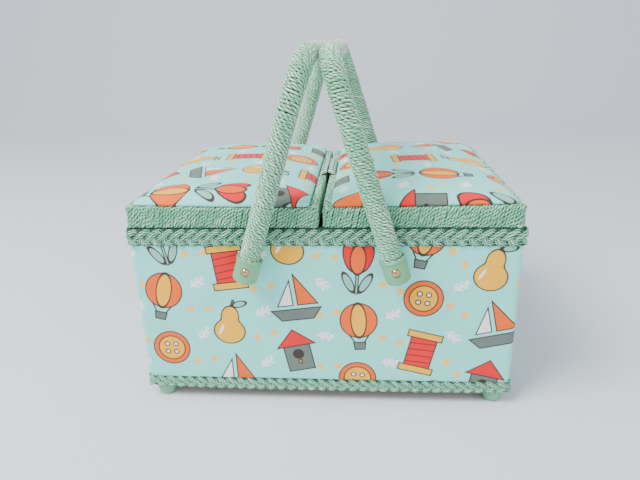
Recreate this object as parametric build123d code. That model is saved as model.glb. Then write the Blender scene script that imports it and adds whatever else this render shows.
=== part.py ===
from build123d import *
import os
from math import asin, degrees

os.makedirs("parts", exist_ok=True)

# Sewing carrier: a cloth-covered box on four feet, two padded lids hinged at the ends,
# and two twine-wound arch handles that pivot on rivets and lean against each other.
# Frame: origin under the middle of the box at the table, +X to the right, +Y to the
# back, +Z up, millimetres, lids shut.

# ---- box -------------------------------------------------------------------------
box_length = 271.0          # over the cloth, left to right
box_depth = 196.0           # over the cloth, front to back
box_corner_radius = 3.0     # of the cloth's upright corners
board = 4.0                 # fibreboard of the walls and the bottom
cover_thickness = 1.0       # printed cloth on its thin wadding
lining_thickness = 1.0      # satin on card inside the walls
floor_pad_thickness = 3.0
foot_height = 10.0
wall_height = 124.0         # above the bottom board
glue_gap = 0.1              # between pieces that are glued side by side

# ---- plaited braids ----------------------------------------------------------------
braid_thickness = 1.8       # how far a braid stands out from the cloth
braid_edge_bevel = 0.7
rim_braid_height = 12.5
base_braid_height = 9.5
base_braid_lift = 0.3       # above the underside of the bottom board

# ---- feet and their screws -----------------------------------------------------------
foot_radius = 7.3
foot_sole_radius = 5.2
foot_inset_x = 10.5         # foot's centre from the cloth at the end
foot_inset_y = 7.5          # foot's centre from the cloth at the front
foot_screw_radius = 1.5
foot_screw_head_radius = 2.8
foot_screw_head_height = 1.8
foot_screw_grip = 3.2       # depth in the bottom board
foot_recess_depth = 4.0
screw_clearance = 0.05

# ---- lids --------------------------------------------------------------------------
lid_gap = 2.0               # between the two lids
lid_overhang_x = 0.5        # how much less far out than the cloth the lid stops, at the ends
lid_overhang_y = 1.0        # how much further out than the cloth the lid reaches, front and back
lid_edge_height = 16.5
lid_corner_radius = 3.0
lid_seat_gap = 0.2          # under the lid, above the rim
twine = 2.6                 # diameter of the twine
lid_frame_board = 2.4
lid_panel_thickness = 3.0
lid_lining_thickness = 2.2
lid_lining_lift = 0.3
cushion_crown = 10.0        # above the wound edge
cushion_margin = 5.0        # of wound edge left bare round the cushion
cushion_seat_gap = 0.1
cushion_draw_in = 1.2       # how far the long and short sides pull in at their middle
cushion_shoulder = 7.0
cushion_corner = 2.5        # the corners' rounding, seen from above

# ---- pull tabs -----------------------------------------------------------------------
tab_length = 46.0
tab_centre_y = 8.0
tab_thickness = 1.6
tab_rise = 2.0
tab_seam_gap = 0.2          # between the tab and the cushion's side

# ---- butt hinges ---------------------------------------------------------------------
hinge_spread = 120.0        # between the two hinges of one lid
hinge_width = 22.0
knuckle_radius = 1.9
knuckle_gap = 0.2
hinge_pin_radius = 0.8
hinge_pin_clearance = 0.05
hinge_pin_head_radius = 1.4
hinge_pin_head = 0.6
leaf_thickness = 0.8
leaf_height = 10.0
leaf_to_knuckle = 0.4
hinge_screw_spread = 13.0
hinge_screw_radius = 0.9
hinge_screw_head_radius = 1.8
hinge_screw_head = 0.8
box_screw_length = 6.6
lid_screw_length = 5.0

# ---- handles -------------------------------------------------------------------------
pivot_x = 50.0              # rivets, from the middle
pivot_below_braid = 12.2
arch_height = 142.8         # rivet to the centreline of the top bar, along the leg
arch_corner_radius = 37.0
handle_radius = 7.3         # over the twine
handle_core_radius = 4.6
handle_touch_gap = 0.3      # between the two handles at the top
ferrule_radius = 8.6
ferrule_flat = 7.9          # ferrule's axis to its flat side, towards the box
ferrule_below = 9.5         # reach below the rivet
ferrule_above = 8.0
ferrule_bottom_radius = 2.4
ferrule_lip = 0.5
ferrule_lip_height = 1.8
ferrule_socket_depth = 2.6  # twine in the ferrule's mouth
core_start = 3.4            # end of the core above the rivet
rivet_radius = 1.5
rivet_clearance = 0.05
rivet_head_radius = 2.8
rivet_head_height = 1.7
rivet_seat_radius = 3.3     # flat spot on the ferrule, under the rivet's head
rivet_seat_depth = 0.6
rivet_tail_radius = 2.5
rivet_tail_height = 1.0
pivot_play = 0.1            # beside the ferrule
spacer_radius = 6.0
spacer_thickness = 1.8
inner_washer_radius = 5.0
inner_washer_thickness = 0.8

# ---- sizes that follow ---------------------------------------------------------------
board_length = box_length - 2 * cover_thickness
board_depth = box_depth - 2 * cover_thickness
board_corner = box_corner_radius - cover_thickness
inner_length = board_length - 2 * board
inner_depth = board_depth - 2 * board
floor_z = foot_height + board
rim_z = floor_z + wall_height
lid_z = rim_z + lid_seat_gap
lid_top_z = lid_z + lid_edge_height
braid_length = box_length + 2 * braid_thickness
braid_depth = box_depth + 2 * braid_thickness
lid_length = box_length / 2 - lid_overhang_x - lid_gap / 2
lid_depth = box_depth + 2 * lid_overhang_y
lid_x = lid_gap / 2 + lid_length / 2
lid_end_x = lid_x + lid_length / 2
edge_width = 2 * twine + lid_frame_board
hinge_x = braid_length / 2 + knuckle_radius
hinge_z = lid_z
foot_x = box_length / 2 - foot_inset_x
foot_y = box_depth / 2 - foot_inset_y
pivot_z = rim_z - rim_braid_height - pivot_below_braid
ferrule_inner_y = box_depth / 2 + spacer_thickness + pivot_play
leg_y = ferrule_inner_y + ferrule_flat
rivet_head_y = leg_y + ferrule_radius - rivet_seat_depth + pivot_play
rivet_tail_y = inner_depth / 2 - lining_thickness - inner_washer_thickness
handle_lean = degrees(asin((pivot_x - handle_radius - handle_touch_gap / 2) / arch_height))
corners = [(sx, sy) for sx in (-1, 1) for sy in (-1, 1)]


def save(node, *shapes):
    """Write the solids of one named sub-part to its STEP file."""
    solids = [solid for shape in shapes for solid in shape.solids()]
    export_step(solids[0] if len(solids) == 1 else Compound(solids), f"parts/{node}.step")


def slab(length, depth, radius, z0, z1):
    """A plate with rounded upright corners, centred on the Z axis."""
    return Pos(0, 0, z0) * extrude(RectangleRounded(length, depth, radius), z1 - z0)


def ring(length, depth, radius, width, z0, z1):
    """A hollow band: the slab less its middle, with a wall of the given width."""
    inner_radius = max(radius - width, 0.5)
    return slab(length, depth, radius, z0, z1) - slab(
        length - 2 * width, depth - 2 * width, inner_radius, z0 - 1, z1 + 1
    )


def rod(axis, centre, radius, start, end):
    """A round bar along X, Y or Z; centre is a point on its axis, start and end lie along it."""
    plane = {
        "X": Plane((start, centre[1], centre[2]), x_dir=(0, 1, 0), z_dir=(1, 0, 0)),
        "Y": Plane((centre[0], start, centre[2]), x_dir=(1, 0, 0), z_dir=(0, 1, 0)),
        "Z": Plane((centre[0], centre[1], start), x_dir=(1, 0, 0), z_dir=(0, 0, 1)),
    }[axis]
    return extrude(plane * Circle(radius), end - start)


def dome(centre_y, x, z, radius, height):
    """A domed rivet head, a cap of a ball: flat side at centre_y, pointing along +Y."""
    ball_radius = (radius * radius + height * height) / (2 * height)
    ball = Pos(0, height - ball_radius, 0) * Sphere(ball_radius)
    cap = ball & (Pos(0, height, 0) * Box(3 * radius, 2 * height, 3 * radius))
    return Pos(x, centre_y, z) * cap


# ---- holes that the fasteners need ------------------------------------------------------
def rivet_holes():
    """Bars through the front and back walls at the four pivots."""
    reach = box_depth
    return [
        rod("Y", (sx * pivot_x, 0, pivot_z), rivet_radius + rivet_clearance, -reach, reach)
        for sx in (-1, 1)
    ]


def hinge_screw_places():
    """The (y, offset) places of the screws along a side: two in each of two leaves."""
    return [
        hinge * hinge_spread / 2 + screw * hinge_screw_spread / 2
        for hinge in (-1, 1)
        for screw in (-1, 1)
    ]


box_leaf_top = hinge_z - knuckle_radius - leaf_to_knuckle
box_screw_z = box_leaf_top - leaf_height / 2
lid_leaf_base = hinge_z + knuckle_radius + leaf_to_knuckle
lid_screw_z = lid_leaf_base + leaf_height / 2


def hinge_screw_holes(z, reach_in, reach_out):
    """Bars for the screws on the right-hand side, at height z."""
    hole = hinge_screw_radius + screw_clearance
    return [rod("X", (0, y, z), hole, reach_in, reach_out) for y in hinge_screw_places()]


def both_sides(shapes):
    """Each shape and its mirror image in the middle plane."""
    return shapes + [mirror(shape, about=Plane.YZ) for shape in shapes]


# ---- box ---------------------------------------------------------------------------------
box_screw_tip = braid_length / 2 + leaf_thickness - box_screw_length
side_screw_holes = both_sides(hinge_screw_holes(box_screw_z, box_screw_tip, hinge_x))

foot_screw_holes = [
    rod("Z", (sx * foot_x, sy * foot_y, 0), foot_screw_radius + screw_clearance, 0, floor_z)
    for sx, sy in corners
]

bottom_board = slab(board_length, board_depth, board_corner, foot_height, floor_z)
save("bottom_board", bottom_board - foot_screw_holes)

wall_block = slab(board_length, board_depth, board_corner, floor_z, rim_z)
front_slot = Pos(0, -board_depth / 2 + board / 2, 0) * Box(box_length, board, 4 * rim_z)
back_slot = mirror(front_slot, about=Plane.XZ)
side_slot = Pos(board_length / 2 - board / 2, 0, 0) * Box(board, inner_depth, 4 * rim_z)
save("front_wall", (wall_block & front_slot) - rivet_holes())
save("back_wall", (wall_block & back_slot) - rivet_holes())
right_wall = (wall_block & side_slot) - side_screw_holes
save("right_wall", right_wall)
save("left_wall", mirror(right_wall, about=Plane.YZ))

outer_cover = ring(box_length, box_depth, box_corner_radius, cover_thickness, foot_height, rim_z)
save("outer_cover", outer_cover - rivet_holes() - side_screw_holes)

lining_corner = 1.5
wall_lining = ring(
    inner_length - 2 * glue_gap,
    inner_depth - 2 * glue_gap,
    lining_corner,
    lining_thickness - glue_gap,
    floor_z,
    rim_z,
)
save("wall_lining", wall_lining - rivet_holes())

floor_pad = slab(
    inner_length - 2 * lining_thickness - 2 * glue_gap,
    inner_depth - 2 * lining_thickness - 2 * glue_gap,
    lining_corner,
    floor_z,
    floor_z + floor_pad_thickness,
)
save("floor_pad", fillet(floor_pad.faces().sort_by(Axis.Z)[-1].edges(), 1.0))


def braid(height, z0):
    """A braid as a plain band round the cloth, with its outer edges bevelled."""
    radius = box_corner_radius + braid_thickness
    band = slab(braid_length, braid_depth, radius, z0, z0 + height)
    ends = band.faces().sort_by(Axis.Z)[0].edges() + band.faces().sort_by(Axis.Z)[-1].edges()
    band = chamfer(ends, min(braid_edge_bevel, braid_thickness / 2))
    return band - slab(box_length, box_depth, box_corner_radius, z0 - 1, z0 + height + 1)


rim_braid = braid(rim_braid_height, rim_z - rim_braid_height)
save("rim_braid", rim_braid - side_screw_holes)
save("base_braid", braid(base_braid_height, foot_height + base_braid_lift))


# ---- feet ----------------------------------------------------------------------------------
def foot():
    """A turned button foot: flat sole, swelling side, flat top, recessed for its screw."""
    side = ThreePointArc(
        (foot_sole_radius, 0), (foot_radius * 0.97, foot_height * 0.42), (foot_radius, foot_height)
    )
    outline = Line((0, 0), (foot_sole_radius, 0)) + side + Line(
        (foot_radius, foot_height), (0, foot_height)
    ) + Line((0, foot_height), (0, 0))
    turned = revolve(Plane.XZ * make_face(outline), Axis.Z)
    bore = rod("Z", (0, 0, 0), foot_screw_radius + screw_clearance, -1, foot_height + 1)
    recess = rod("Z", (0, 0, 0), foot_screw_head_radius + 0.3, -1, foot_recess_depth)
    return turned - bore - recess


def foot_screw():
    """A pan-head screw, its head in the foot's recess and its tip in the bottom board."""
    head_z = foot_recess_depth - foot_screw_head_height
    head = rod("Z", (0, 0, 0), foot_screw_head_radius, head_z, foot_recess_depth)
    head = chamfer(head.faces().sort_by(Axis.Z)[0].edges(), foot_screw_head_height * 0.4)
    shank_end = foot_height + foot_screw_grip
    return head + rod("Z", (0, 0, 0), foot_screw_radius, foot_recess_depth, shank_end)


foot_places = [Pos(sx * foot_x, sy * foot_y, 0) for sx, sy in corners]
save("feet", *[place * foot() for place in foot_places])
save("foot_screws", *[place * foot_screw() for place in foot_places])


# ---- butt hinges, right-hand side -------------------------------------------------------------
knuckle_length = (hinge_width - 2 * knuckle_gap) / 3
knuckle_pitch = knuckle_length + knuckle_gap


def knuckle(y):
    """One barrel of a hinge, round the pin, centred at y."""
    half = knuckle_length / 2
    return rod("Y", (hinge_x, 0, hinge_z), knuckle_radius, y - half, y + half)


def strip(points, y, width):
    """A strip of sheet metal: its section in the XZ plane, its width along Y, centred at y."""
    section = make_face(Polyline(*points, close=True))
    return Pos(0, y + width / 2, 0) * extrude(Plane.XZ * section, width)


pin_bore = rod(
    "Y", (hinge_x, 0, hinge_z), hinge_pin_radius + hinge_pin_clearance, -box_depth, box_depth
)


def box_leaf(y):
    """The leaf on the rim braid: a plate with two outer knuckles."""
    face = braid_length / 2
    outer = face + leaf_thickness
    base = box_leaf_top - leaf_height
    plate = [(face, base), (outer, base), (outer, box_leaf_top), (face, box_leaf_top)]
    tongue = [(face, box_leaf_top), (outer, box_leaf_top), (outer, hinge_z), (face, hinge_z)]
    leaf = strip(plate, y, hinge_width)
    for side in (-1, 1):
        place = y + side * knuckle_pitch
        leaf += strip(tongue, place, knuckle_length) + knuckle(place)
    return leaf - pin_bore - hinge_screw_holes(box_screw_z, face - 1, outer + 1)


def lid_leaf(y):
    """The leaf on the lid's wound edge: a plate cranked out to the middle knuckle."""
    face = lid_end_x
    outer = face + leaf_thickness
    top = lid_leaf_base + leaf_height
    crank = lid_leaf_base + leaf_thickness
    plate = [(face, lid_leaf_base), (outer, lid_leaf_base), (outer, top), (face, top)]
    barrel_top = hinge_z + knuckle_radius
    tongue = [
        (face, lid_leaf_base),
        (hinge_x, barrel_top - leaf_thickness),
        (hinge_x, barrel_top),
        (face, crank),
    ]
    leaf = strip(plate, y, hinge_width) + strip(tongue, y, knuckle_length) + knuckle(y)
    return leaf - pin_bore - hinge_screw_holes(lid_screw_z, face - 1, outer + 1)


def hinge_pin(y):
    """The pin through all three knuckles, with a peened head at each end."""
    half = hinge_width / 2 + knuckle_gap / 2
    pin = rod("Y", (hinge_x, 0, hinge_z), hinge_pin_radius, y - half, y + half)
    for side in (-1, 1):
        start = y + side * half
        end = start + side * hinge_pin_head
        pin += rod("Y", (hinge_x, 0, hinge_z), hinge_pin_head_radius, min(start, end), max(start, end))
    return pin


def hinge_screw(y, z, face, length):
    """A flat-topped screw driven along -X through a leaf whose outer side is at face."""
    head = rod("X", (0, y, z), hinge_screw_head_radius, face, face + hinge_screw_head)
    return head + rod("X", (0, y, z), hinge_screw_radius, face - length, face)


hinge_places = [-hinge_spread / 2, hinge_spread / 2]
box_leaf_face = braid_length / 2 + leaf_thickness
lid_leaf_face = lid_end_x + leaf_thickness
save("box_hinge_leaves", *both_sides([box_leaf(y) for y in hinge_places]))
save("hinge_pins", *both_sides([hinge_pin(y) for y in hinge_places]))
box_hinge_screws = [
    hinge_screw(y, box_screw_z, box_leaf_face, box_screw_length) for y in hinge_screw_places()
]
save("box_hinge_screws", *both_sides(box_hinge_screws))

# ---- lid, right-hand side ------------------------------------------------------------------------
lid_place = Pos(lid_x, 0, 0)
lid_screw_tip = lid_leaf_face - lid_screw_length
lid_screw_holes = hinge_screw_holes(lid_screw_z, lid_screw_tip, lid_leaf_face)
frame_corner = max(lid_corner_radius - twine, 0.5)
inside_corner = max(lid_corner_radius - edge_width, 0.5)
inside_length = lid_length - 2 * edge_width
inside_depth = lid_depth - 2 * edge_width

lid_frame = lid_place * ring(
    lid_length - 2 * twine,
    lid_depth - 2 * twine,
    frame_corner,
    lid_frame_board,
    lid_z + twine,
    lid_top_z - twine,
)

edge_block = slab(lid_length, lid_depth, lid_corner_radius, lid_z, lid_top_z)
edge_block = fillet(edge_block.faces().sort_by(Axis.Z)[-1].edges(), twine * 0.7)
edge_block = chamfer(edge_block.faces().sort_by(Axis.Z)[0].edges(), twine * 0.4)
middle = slab(inside_length, inside_depth, inside_corner, lid_z - 1, lid_top_z + 1)
edge_winding = lid_place * (edge_block - middle) - lid_frame

lid_panel = lid_place * slab(
    inside_length - 2 * glue_gap,
    inside_depth - 2 * glue_gap,
    inside_corner,
    lid_top_z - lid_panel_thickness,
    lid_top_z,
)
lid_lining = lid_place * slab(
    inside_length - 2 * glue_gap,
    inside_depth - 2 * glue_gap,
    inside_corner,
    lid_z + lid_lining_lift,
    lid_z + lid_lining_lift + lid_lining_thickness,
)


def cushion_section(share):
    """One upright section of the cushion; share runs from -1 at the front to 1 at the back."""
    full_half = lid_length / 2 - cushion_margin
    half_depth = lid_depth / 2 - cushion_margin
    base_z = lid_top_z + cushion_seat_gap
    swell = (1 - abs(share) ** 3) ** 0.6
    half = full_half - cushion_draw_in * (1 - share * share)
    half -= max(0, cushion_corner - half_depth * (1 - abs(share)))
    side_top = lid_top_z + 0.12 * cushion_crown
    shoulder_z = side_top + (0.06 + 0.4 * swell) * cushion_crown
    crown_z = side_top + (0.1 + 0.78 * swell) * cushion_crown
    shoulder_x = half - cushion_shoulder
    bow_x = half - 0.2 * cushion_shoulder
    bow_z = side_top + 0.72 * (shoulder_z - side_top)
    floor_line = Line((-half, base_z), (half, base_z))
    right_side = Line((half, base_z), (half, side_top))
    right_bow = ThreePointArc((half, side_top), (bow_x, bow_z), (shoulder_x, shoulder_z))
    crown = ThreePointArc((shoulder_x, shoulder_z), (0, crown_z), (-shoulder_x, shoulder_z))
    left_bow = ThreePointArc((-shoulder_x, shoulder_z), (-bow_x, bow_z), (-half, side_top))
    left_side = Line((-half, side_top), (-half, base_z))
    outline = floor_line + right_side + right_bow + crown + left_bow + left_side
    y = share * half_depth
    return Plane((0, y, 0), x_dir=(1, 0, 0), z_dir=(0, -1, 0)) * make_face(outline)


cushion_shares = (0.0, 0.3, 0.55, 0.75, 0.88, 0.96, 1.0)
front_to_back = [-share for share in cushion_shares[:0:-1]] + list(cushion_shares)
cushion = lid_place * loft([cushion_section(share) for share in front_to_back], ruled=True)


def pull_tab():
    """A folded strip of cloth from the cushion's seam over the inner edge to the gap."""
    seam = lid_gap / 2 + cushion_margin - tab_seam_gap
    free = lid_gap / 2
    middle_x = (seam + free) / 2
    low = lid_top_z + glue_gap
    under = ThreePointArc((seam, low), (middle_x, low + 0.7 * tab_rise), (free, low + tab_rise))
    fold = ThreePointArc(
        (free, low + tab_rise),
        (free - 0.35 * tab_thickness, low + tab_rise + 0.5 * tab_thickness),
        (free, low + tab_rise + tab_thickness),
    )
    over = ThreePointArc(
        (free, low + tab_rise + tab_thickness),
        (middle_x, low + 0.75 * tab_rise + tab_thickness),
        (seam, low + tab_thickness),
    )
    outline = under + fold + over + Line((seam, low + tab_thickness), (seam, low))
    strip_end = Pos(0, tab_centre_y + tab_length / 2, 0)
    return strip_end * extrude(Plane.XZ * make_face(outline), tab_length)


lid_pieces = {
    "frame": [lid_frame - lid_screw_holes],
    "edge_winding": [edge_winding - lid_screw_holes],
    "panel": [lid_panel],
    "cushion": [cushion],
    "lining": [lid_lining],
    "pull_tab": [pull_tab()],
    "hinge_leaves": [lid_leaf(y) for y in hinge_places],
    "hinge_screws": [
        hinge_screw(y, lid_screw_z, lid_leaf_face, lid_screw_length) for y in hinge_screw_places()
    ],
}
for piece, shapes in lid_pieces.items():
    save(f"right_lid_{piece}", *shapes)
    save(f"left_lid_{piece}", *[mirror(shape, about=Plane.YZ) for shape in shapes])


# ---- handles ----------------------------------------------------------------------------------------
def arch(start):
    """The handle's centreline, upright in the YZ plane, with the rivet at height 0."""
    corner = (leg_y, arch_height)
    ends = [(-leg_y, start), (-corner[0], corner[1]), corner, (leg_y, start)]
    path = FilletPolyline(*ends, radius=arch_corner_radius)
    return Plane((0, 0, 0), x_dir=(0, 1, 0), z_dir=(1, 0, 0)) * path


def swept(start, radius, bore=0.0):
    """A round bar, or a tube, along the arch."""
    foot_plane = Plane((0, -leg_y, start), x_dir=(1, 0, 0), z_dir=(0, 0, 1))
    section = Circle(radius) - Circle(bore) if bore else Circle(radius)
    return sweep(foot_plane * section, path=arch(start))


def ferrule():
    """The front ferrule: a moulded cup, flat towards the box, lipped, with a seat for its rivet."""
    centre = (0, -leg_y, 0)
    cup = rod("Z", centre, ferrule_radius, -ferrule_below, ferrule_above)
    cup = fillet(cup.faces().sort_by(Axis.Z)[0].edges(), ferrule_bottom_radius)
    lip_base = ferrule_above - ferrule_lip_height
    lip = rod("Z", centre, ferrule_radius + ferrule_lip, lip_base, ferrule_above)
    lip = chamfer(lip.edges().filter_by(GeomType.CIRCLE), ferrule_lip * 0.8)
    beyond_flat = Pos(0, -ferrule_inner_y / 2, 0) * Box(
        4 * ferrule_radius, ferrule_inner_y, 4 * ferrule_above + 4 * ferrule_below
    )
    seat_y = -leg_y - ferrule_radius + rivet_seat_depth
    seat = rod("Y", (0, 0, 0), rivet_seat_radius, seat_y - ferrule_radius, seat_y)
    mouth_base = ferrule_above - ferrule_socket_depth
    mouth = rod("Z", centre, handle_radius + glue_gap, mouth_base, ferrule_above + 1)
    socket = rod("Z", centre, handle_core_radius + glue_gap, core_start, ferrule_above)
    bore = rod("Y", (0, 0, 0), rivet_radius + rivet_clearance, -2 * leg_y, 0)
    return cup + lip - beyond_flat - seat - mouth - socket - bore


core = swept(core_start, handle_core_radius)
winding = swept(ferrule_above - ferrule_socket_depth, handle_radius, handle_core_radius + glue_gap)
front_ferrule = ferrule()
handle_pieces = {
    "core": core,
    "winding": winding,
    "front_ferrule": front_ferrule,
    "back_ferrule": mirror(front_ferrule, about=Plane.XZ),
}
for piece, shape in handle_pieces.items():
    right = Pos(pivot_x, 0, pivot_z) * Rot(0, -handle_lean, 0) * shape
    save(f"right_handle_{piece}", right)
    save(f"left_handle_{piece}", mirror(right, about=Plane.YZ))


# ---- rivets and washers -------------------------------------------------------------------------------
def at_pivots(build):
    """Call build with x and the side of the box (-1 front, 1 back) for each of the four pivots."""
    return [build(sx * pivot_x, sy) for sx, sy in corners]


def washer(x, side, radius, start, thickness):
    """A flat washer round a rivet; start is its face nearer the middle of the box."""
    disc = rod("Y", (x, 0, pivot_z), radius, start, start + thickness)
    disc -= rod("Y", (x, 0, pivot_z), rivet_radius + rivet_clearance, start - 1, start + thickness + 1)
    return disc if side > 0 else mirror(disc, about=Plane.XZ)


def rivet(x, side):
    """A domed rivet from outside the ferrule to its peened tail inside the box."""
    shank = rod("Y", (x, 0, pivot_z), rivet_radius, rivet_tail_y - rivet_tail_height, rivet_head_y)
    tail = rod("Y", (x, 0, pivot_z), rivet_tail_radius, rivet_tail_y - rivet_tail_height, rivet_tail_y)
    whole = shank + tail + dome(rivet_head_y, x, pivot_z, rivet_head_radius, rivet_head_height)
    return whole if side > 0 else mirror(whole, about=Plane.XZ)


save("handle_rivets", *at_pivots(rivet))
save(
    "spacer_washers",
    *at_pivots(lambda x, side: washer(x, side, spacer_radius, box_depth / 2, spacer_thickness)),
)
save(
    "inner_washers",
    *at_pivots(
        lambda x, side: washer(x, side, inner_washer_radius, rivet_tail_y, inner_washer_thickness)
    ),
)
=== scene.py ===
import bpy
from math import asin, cos, hypot, pi, radians, sin
from mathutils import Matrix, Vector, noise


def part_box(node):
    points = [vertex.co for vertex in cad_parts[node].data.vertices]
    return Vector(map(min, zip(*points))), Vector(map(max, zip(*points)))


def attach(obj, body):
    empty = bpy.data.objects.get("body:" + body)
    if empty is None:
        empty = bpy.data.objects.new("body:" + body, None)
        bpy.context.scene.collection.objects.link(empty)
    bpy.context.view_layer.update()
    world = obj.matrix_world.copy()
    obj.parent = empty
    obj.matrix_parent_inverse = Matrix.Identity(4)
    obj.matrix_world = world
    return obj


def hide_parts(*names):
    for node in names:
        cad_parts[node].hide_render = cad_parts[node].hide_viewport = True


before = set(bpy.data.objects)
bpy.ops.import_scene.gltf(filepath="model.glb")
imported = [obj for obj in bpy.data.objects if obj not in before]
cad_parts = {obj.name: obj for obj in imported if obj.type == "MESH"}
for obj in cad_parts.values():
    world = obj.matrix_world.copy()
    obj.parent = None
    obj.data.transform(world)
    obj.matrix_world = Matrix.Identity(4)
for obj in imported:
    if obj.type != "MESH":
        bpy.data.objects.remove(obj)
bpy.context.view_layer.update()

# ---- studio ----
# A pale sweep of paper stands for table and background. One large soft lamp hangs over the
# front left, a weaker one fills the right side, and a pale sky lightens the rest.

sweep_half_width = 3.0
sweep_front = -2.0
sweep_back = 1.1
sweep_bend = 0.7
sweep_top = 2.6


def add(tree, kind, *values, **named):
    """Adds a node. Values go to its inputs in their order or by a capitalised name; the rest are settings."""
    made = tree.nodes.new(kind)
    inputs = list(enumerate(values))
    for name, value in named.items():
        if name[0].isupper():
            inputs.append((name.replace("_", " "), value))
        else:
            setattr(made, name, value)
    for place, value in inputs:
        value = getattr(value, "socket", value)
        if isinstance(value, bpy.types.NodeSocket):
            tree.links.new(value, made.inputs[place])
        elif value is not None:
            made.inputs[place].default_value = value
    return made


def dye(code):
    """A colour as a dyer's hex code, turned into linear light with full alpha."""
    shares = [int(code[i:i + 2], 16) / 255 for i in (0, 2, 4)]
    return tuple(((s + 0.055) / 1.055) ** 2.4 if s > 0.04 else s / 12.92 for s in shares) + (1.0,)


def finish_named(name, colour, roughness, **plain):
    """A material with its shader's plain values set; returns material, tree and shader."""
    material = bpy.data.materials.new(name)
    material.use_nodes = True
    shader = material.node_tree.nodes["Principled BSDF"]
    shader.inputs["Base Color"].default_value = colour
    shader.inputs["Roughness"].default_value = roughness
    for place, value in plain.items():
        shader.inputs[place.replace("_", " ")].default_value = value
    return material, material.node_tree, shader


def piece(name, points, faces, material, smooth=True):
    """A mesh object at the origin, with its place in its points."""
    mesh = bpy.data.meshes.new(name)
    mesh.from_pydata(points, [], faces)
    mesh.polygons.foreach_set("use_smooth", [smooth] * len(mesh.polygons))
    mesh.materials.append(material)
    made = bpy.data.objects.new(name, mesh)
    bpy.context.scene.collection.objects.link(made)
    return made


paper, paper_tree, paper_shader = finish_named("sweep_paper", dye("DDE3EA"), 0.85)
grain = add(paper_tree, "ShaderNodeTexNoise", Scale=3.0, Detail=3.0)
shade = add(paper_tree, "ShaderNodeMapRange", Value=grain.outputs[0], To_Min=0.8, To_Max=0.9)
paper_tree.links.new(shade.outputs[0], paper_shader.inputs["Roughness"])

sweep_line = [(sweep_front, 0.0), (sweep_back, 0.0)]
for step in range(1, 13):
    angle = step / 12 * pi / 2
    sweep_line.append((sweep_back + sweep_bend * sin(angle), sweep_bend * (1 - cos(angle))))
sweep_line.append((sweep_back + sweep_bend, sweep_top))
sweep_points = [(x, y, z) for y, z in sweep_line for x in (-sweep_half_width, sweep_half_width)]
sweep_faces = [(2 * i, 2 * i + 1, 2 * i + 3, 2 * i + 2) for i in range(len(sweep_line) - 1)]
floor = piece("floor", sweep_points, sweep_faces, paper)


def soft_lamp(name, place, aim, width, power, colour):
    """A square area lamp at a place, turned to face a point."""
    light = bpy.data.lights.new(name, "AREA")
    light.shape = "SQUARE"
    light.size = width
    light.energy = power
    light.color = colour
    lamp = bpy.data.objects.new(name, light)
    lamp.location = place
    lamp.rotation_euler = (Vector(aim) - Vector(place)).to_track_quat("-Z", "Y").to_euler()
    bpy.context.scene.collection.objects.link(lamp)


middle = (0.0, 0.0, 0.12)
soft_lamp("key_lamp", (-0.8, -0.62, 1.4), middle, 0.8, 41.0, (1.0, 0.985, 0.96))
soft_lamp("fill_lamp", (1.2, -1.0, 0.9), middle, 1.2, 9.0, (0.95, 0.98, 1.0))
world = bpy.data.worlds.new("pale_room")
world.use_nodes = True
world.node_tree.nodes["Background"].inputs["Color"].default_value = (0.90, 0.94, 1.0, 1.0)
world.node_tree.nodes["Background"].inputs["Strength"].default_value = 0.9
bpy.context.scene.world = world

# The camera stands where the photograph was taken from: place, turn, tilt, roll and lens
# were solved from the corners of the box, the rivets and the feet.
camera_place = Vector((0.02857, -0.44559, 0.26049))
camera_turn = -0.084
camera_tilt = -0.358
camera_roll = -0.029
focal_pixels = 547.4
image_width = 640
sensor_width = 36.0

forward = Vector((sin(camera_turn) * cos(camera_tilt), cos(camera_turn) * cos(camera_tilt),
                  sin(camera_tilt)))
level = Vector((cos(camera_turn), -sin(camera_turn), 0.0))
upward = level.cross(forward)
right = cos(camera_roll) * level + sin(camera_roll) * upward
upright = cos(camera_roll) * upward - sin(camera_roll) * level
eye = bpy.data.cameras.new("camera")
eye.sensor_width = sensor_width
eye.lens = focal_pixels / image_width * sensor_width
eye.clip_start = 0.01
camera = bpy.data.objects.new("camera", eye)
facing = Matrix((right, upright, -forward)).transposed().to_4x4()
camera.matrix_world = Matrix.Translation(camera_place) @ facing
bpy.context.scene.collection.objects.link(camera)
bpy.context.scene.camera = camera

# ---- fibreboard ----
# The box's four walls and its bottom are sawn from brown fibreboard. Cloth and satin hide
# nearly all of it.


def speckle(tree, place, scale, detail=2.0):
    """Cloudy noise between 0 and 1."""
    return add(tree, "ShaderNodeTexNoise", Vector=place, Scale=scale, Detail=detail).outputs[0]


def blend(tree, share, start, end):
    """A colour on the way from one to another."""
    return add(tree, "ShaderNodeMix", Factor=share, A=start, B=end, data_type="RGBA").outputs["Result"]


def bumped(tree, height, strength, distance, under=None):
    """The normal of a bumped surface, laid over another normal where one is given."""
    return add(tree, "ShaderNodeBump", Height=height, Strength=strength, Distance=distance,
               Normal=under).outputs[0]


def feed(node, **sockets):
    """Links sockets to a node's inputs by their names."""
    for place, socket in sockets.items():
        node.id_data.links.new(getattr(socket, "socket", socket), node.inputs[place.replace("_", " ")])


def object_place(tree):
    """A point's place on its piece, in metres."""
    return add(tree, "ShaderNodeTexCoord").outputs["Object"]


def speckled(name, middle, dark, light, roughness, scale, detail=2.0, depth=None):
    """A dull material flecked between a dark and a light dye, and uneven where it has a depth."""
    material, tree, shader = finish_named(name, dye(middle), roughness)
    flecks = speckle(tree, object_place(tree), scale, detail)
    feed(shader, Base_Color=blend(tree, flecks, dye(dark), dye(light)))
    if depth is not None:
        feed(shader, Normal=bumped(tree, flecks, 0.3, depth))
    return material


def dressed(node, material):
    """A CAD node with a material."""
    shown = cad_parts[node]
    shown.data.materials.clear()
    shown.data.materials.append(material)
    return shown


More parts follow.
